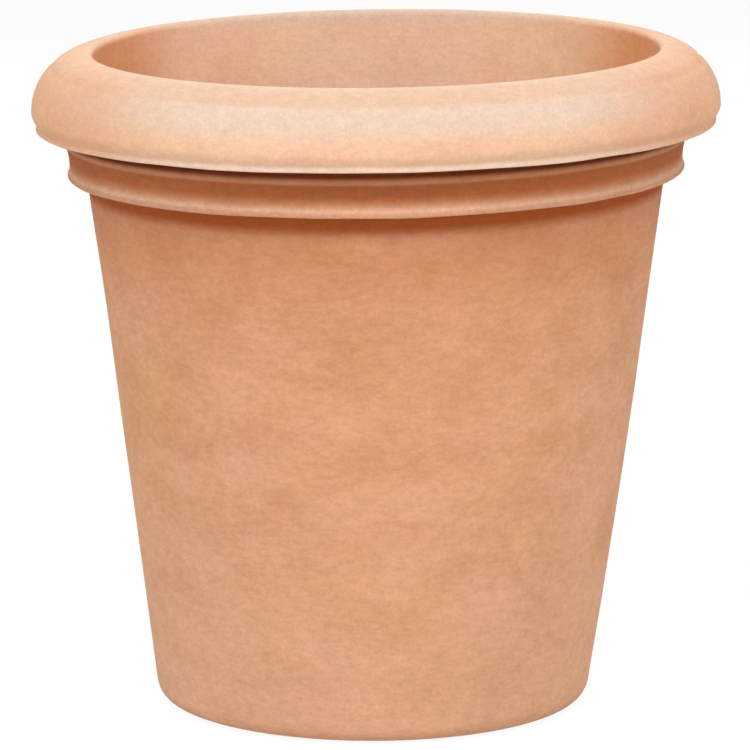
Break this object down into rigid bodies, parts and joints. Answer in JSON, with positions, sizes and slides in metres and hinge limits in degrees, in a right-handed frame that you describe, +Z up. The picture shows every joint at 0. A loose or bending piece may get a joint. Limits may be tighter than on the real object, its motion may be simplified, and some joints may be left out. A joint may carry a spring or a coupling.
{
  "type": "flower pot",
  "caption": "Round tapered floor planter in terracotta finish, with a rolled rim over a stepped collar, lift-out liner, drainage plate, screw drain plug and foot pads.",
  "frame": {"origin": "centre of the foot, on the floor that the pads stand on", "axes": "+Z up along the pot's axis, +X to the right and -Y to the front as the picture sees it"},
  "size_m": [0.508, 0.508, 0.49],
  "materials": {
    "outer_pot": "matt, sanded terracotta colour",
    "inner_pot": "matt, chalky pale terracotta colour",
    "rolled_rim": "matt, chalky pale terracotta colour",
    "drainage_plate": "moulded, matt",
    "drain_plug": "moulded, matt",
    "plug_seal": "matt",
    "foot_pad": "matt"
  },
  "bodies": {
    "planter": {"outer_pot": "outer_pot", "foot_pad_1": "foot_pad", "foot_pad_2": "foot_pad", "foot_pad_3": "foot_pad", "foot_pad_4": "foot_pad"},
    "liner": {"inner_pot": "inner_pot", "rolled_rim": "rolled_rim"},
    "plate": {"drainage_plate": "drainage_plate"},
    "seal": {"plug_seal": "plug_seal"},
    "plug": {"drain_plug": "drain_plug"}
  },
  "joints": [
    {"name": "liner_lift", "type": "slide", "parent": "planter", "child": "liner", "axis": [0, 0, 1], "range_m": [0, 0.42]},
    {"name": "plate_lift", "type": "slide", "parent": "liner", "child": "plate", "axis": [0, 0, 1], "range_m": [0, 0.45]},
    {"name": "plug_lift", "type": "slide", "parent": "planter", "child": "seal", "axis": [0, 0, 1], "range_m": [0, 0.0125]},
    {"name": "plug_turn", "type": "hinge", "parent": "seal", "child": "plug", "pos_m": [0, 0, 0.018], "axis": [0, 0, 1], "range_deg": [0, 1080]}
  ],
  "couplings": [
    {"joint": "plug_lift", "follows": "plug_turn", "m_per_rad": 0.00063662}
  ]
}
